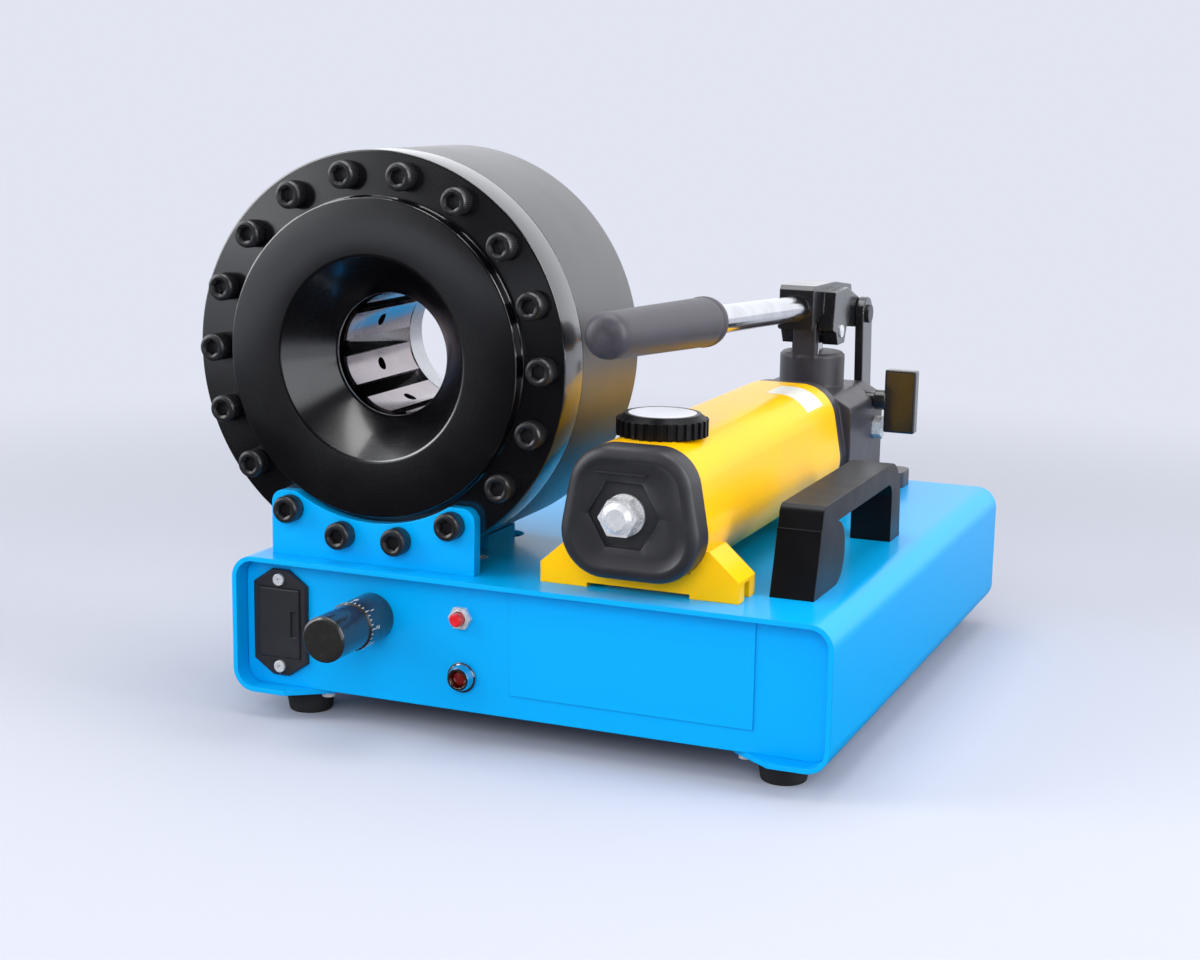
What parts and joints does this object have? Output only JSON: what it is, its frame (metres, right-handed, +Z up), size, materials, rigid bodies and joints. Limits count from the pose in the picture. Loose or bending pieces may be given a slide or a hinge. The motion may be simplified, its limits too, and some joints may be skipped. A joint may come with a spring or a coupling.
{
  "type": "hose crimping machine",
  "caption": "Bench-top hydraulic crimper with a ring-shaped crimp head and a lever hand pump on a sheet-steel base; squeezes ferrules onto hose ends.",
  "frame": {"origin": "on the floor, under the centre of the bounding box", "axes": "+Z up, -Y is the front where the hose goes in and the controls are, +X towards the hand pump"},
  "size_m": [0.4074, 0.462, 0.342],
  "materials": {
    "blue_paint": "gloss powder coat",
    "black_paint": "satin black",
    "rubber": "matte",
    "zinc": "bright zinc",
    "black_head": "blackened steel, oiled",
    "ground_steel": "turned",
    "die_steel": "ground",
    "black_screw": "black oxide",
    "dial_black": "satin black, knurled",
    "steel": "polished",
    "black_plastic": "moulded",
    "battery_skin": "printed can",
    "red_plastic": "gloss",
    "chrome": "polished",
    "lamp_glass": "clear red-brown",
    "yellow_paint": "gloss",
    "cap_plastic": "moulded",
    "white_plastic": "gloss",
    "pump_black": "gloss black",
    "grip": "moulded"
  },
  "bodies": {
    "machine": {"base_shell": "blue_paint", "front_panel": "blue_paint", "rear_panel": "blue_paint", "cover_plate": "blue_paint", "head_bracket": "blue_paint", "rubber_feet": "rubber", "foot_screws": "zinc", "head_saddle": "black_paint", "base_screws": "zinc", "head_cover": "black_head", "head_cylinder": "black_head", "rod_seal": "rubber", "flange_screws": "black_screw", "bracket_screws": "black_screw", "dial_sleeve": "dial_black", "battery_holder": "black_plastic", "battery_screws": "zinc", "button_switch": "zinc", "lamp_bezel": "chrome", "lamp_lens": "lamp_glass", "pump_tank": "yellow_paint", "pump_end_cap": "cap_plastic", "tie_bolt": "zinc", "pump_body": "pump_black", "pump_plug": "zinc", "port_fitting": "zinc", "outlet_elbow": "zinc", "pressure_pipe": "steel", "pipe_grommet": "rubber", "carry_handle": "black_plastic", "mount_screws": "zinc"},
    "piston": {"ring_piston": "ground_steel", "piston_seal": "rubber", "stroke_arm": "zinc", "arm_screws": "black_screw"},
    "links": {"link_plates": "pump_black", "link_pins": "zinc"},
    "handle": {"pump_yoke": "pump_black", "plunger_pin": "zinc", "handle_tube": "steel", "handle_grip": "grip"},
    "plunger": {"pump_plunger": "steel"},
    "release_knob": {"release_knob": "pump_black"},
    "fill_cap": {"fill_cap": "black_plastic", "fill_cap_disc": "white_plastic"},
    "dial_thimble": {"dial_thimble": "dial_black"},
    "dial_spindle": {"dial_spindle": "steel"},
    "push_button": {"push_button": "red_plastic"},
    "battery_drawer": {"battery_drawer": "black_plastic", "battery": "battery_skin"},
    "die_1": {"die_1": "die_steel"},
    "die_2": {"die_2": "die_steel"},
    "die_3": {"die_3": "die_steel"},
    "die_4": {"die_4": "die_steel"},
    "die_5": {"die_5": "die_steel"},
    "die_6": {"die_6": "die_steel"},
    "die_7": {"die_7": "die_steel"},
    "die_8": {"die_8": "die_steel"}
  },
  "joints": [
    {"name": "piston_slide", "type": "slide", "parent": "machine", "child": "piston", "axis": [0, -1, 0], "range_m": [0, 0.018], "stiffness_N_per_m": 2000, "springref_m": -0.02},
    {"name": "handle_lift", "type": "hinge", "parent": "links", "child": "handle", "pos_m": [0.08225, 0.211, 0.222], "axis": [-1, 0, 0], "range_deg": [0, 30]},
    {"name": "link_swing", "type": "hinge", "parent": "machine", "child": "links", "pos_m": [0.08225, 0.217, 0.138], "axis": [-1, 0, 0], "range_deg": [-1, 0.2]},
    {"name": "plunger_slide", "type": "slide", "parent": "machine", "child": "plunger", "axis": [0, 0, 1], "range_m": [0, 0.0245]},
    {"name": "release_turn", "type": "hinge", "parent": "machine", "child": "release_knob", "pos_m": [0.12625, 0.172, 0.167], "axis": [1, 0, 0], "range_deg": [0, 180]},
    {"name": "fill_cap_turn", "type": "hinge", "parent": "machine", "child": "fill_cap", "pos_m": [0.08225, -0.1294, 0.1855], "axis": [0, 0, 1], "continuous": true},
    {"name": "dial_turn", "type": "hinge", "parent": "machine", "child": "dial_thimble", "pos_m": [-0.08225, -0.173, 0.069], "axis": [0, 1, 0], "range_deg": [0, 1800]},
    {"name": "spindle_slide", "type": "slide", "parent": "machine", "child": "dial_spindle", "axis": [0, 1, 0], "range_m": [0, 0.01]},
    {"name": "button_press", "type": "slide", "parent": "machine", "child": "push_button", "axis": [0, 1, 0], "range_m": [0, 0.0015], "stiffness_N_per_m": 500, "springref_m": -0.002},
    {"name": "drawer_slide", "type": "slide", "parent": "machine", "child": "battery_drawer", "axis": [0, -1, 0], "range_m": [0, 0.052]},
    {"name": "die_1_slide", "type": "slide", "parent": "machine", "child": "die_1", "axis": [-0.3106, -0.5843, -0.7498], "range_m": [0, 0.01541]},
    {"name": "die_2_slide", "type": "slide", "parent": "machine", "child": "die_2", "axis": [-0.7498, -0.5843, -0.3106], "range_m": [0, 0.01541]},
    {"name": "die_3_slide", "type": "slide", "parent": "machine", "child": "die_3", "axis": [-0.7498, -0.5843, 0.3106], "range_m": [0, 0.01541]},
    {"name": "die_4_slide", "type": "slide", "parent": "machine", "child": "die_4", "axis": [-0.3106, -0.5843, 0.7498], "range_m": [0, 0.01541]},
    {"name": "die_5_slide", "type": "slide", "parent": "machine", "child": "die_5", "axis": [0.3106, -0.5843, 0.7498], "range_m": [0, 0.01541]},
    {"name": "die_6_slide", "type": "slide", "parent": "machine", "child": "die_6", "axis": [0.7498, -0.5843, 0.3106], "range_m": [0, 0.01541]},
    {"name": "die_7_slide", "type": "slide", "parent": "machine", "child": "die_7", "axis": [0.7498, -0.5843, -0.3106], "range_m": [0, 0.01541]},
    {"name": "die_8_slide", "type": "slide", "parent": "machine", "child": "die_8", "axis": [0.3106, -0.5843, -0.7498], "range_m": [0, 0.01541]}
  ],
  "couplings": [
    {"joint": "link_swing", "follows": "handle_lift", "ratio": -0.02439},
    {"joint": "plunger_slide", "follows": "handle_lift", "m_per_rad": 0.045076},
    {"joint": "spindle_slide", "follows": "dial_turn", "m_per_rad": 0.00031828},
    {"joint": "die_1_slide", "follows": "piston_slide", "ratio": 0.85572},
    {"joint": "die_2_slide", "follows": "piston_slide", "ratio": 0.85572},
    {"joint": "die_3_slide", "follows": "piston_slide", "ratio": 0.85572},
    {"joint": "die_4_slide", "follows": "piston_slide", "ratio": 0.85572},
    {"joint": "die_5_slide", "follows": "piston_slide", "ratio": 0.85572},
    {"joint": "die_6_slide", "follows": "piston_slide", "ratio": 0.85572},
    {"joint": "die_7_slide", "follows": "piston_slide", "ratio": 0.85572},
    {"joint": "die_8_slide", "follows": "piston_slide", "ratio": 0.85572}
  ]
}
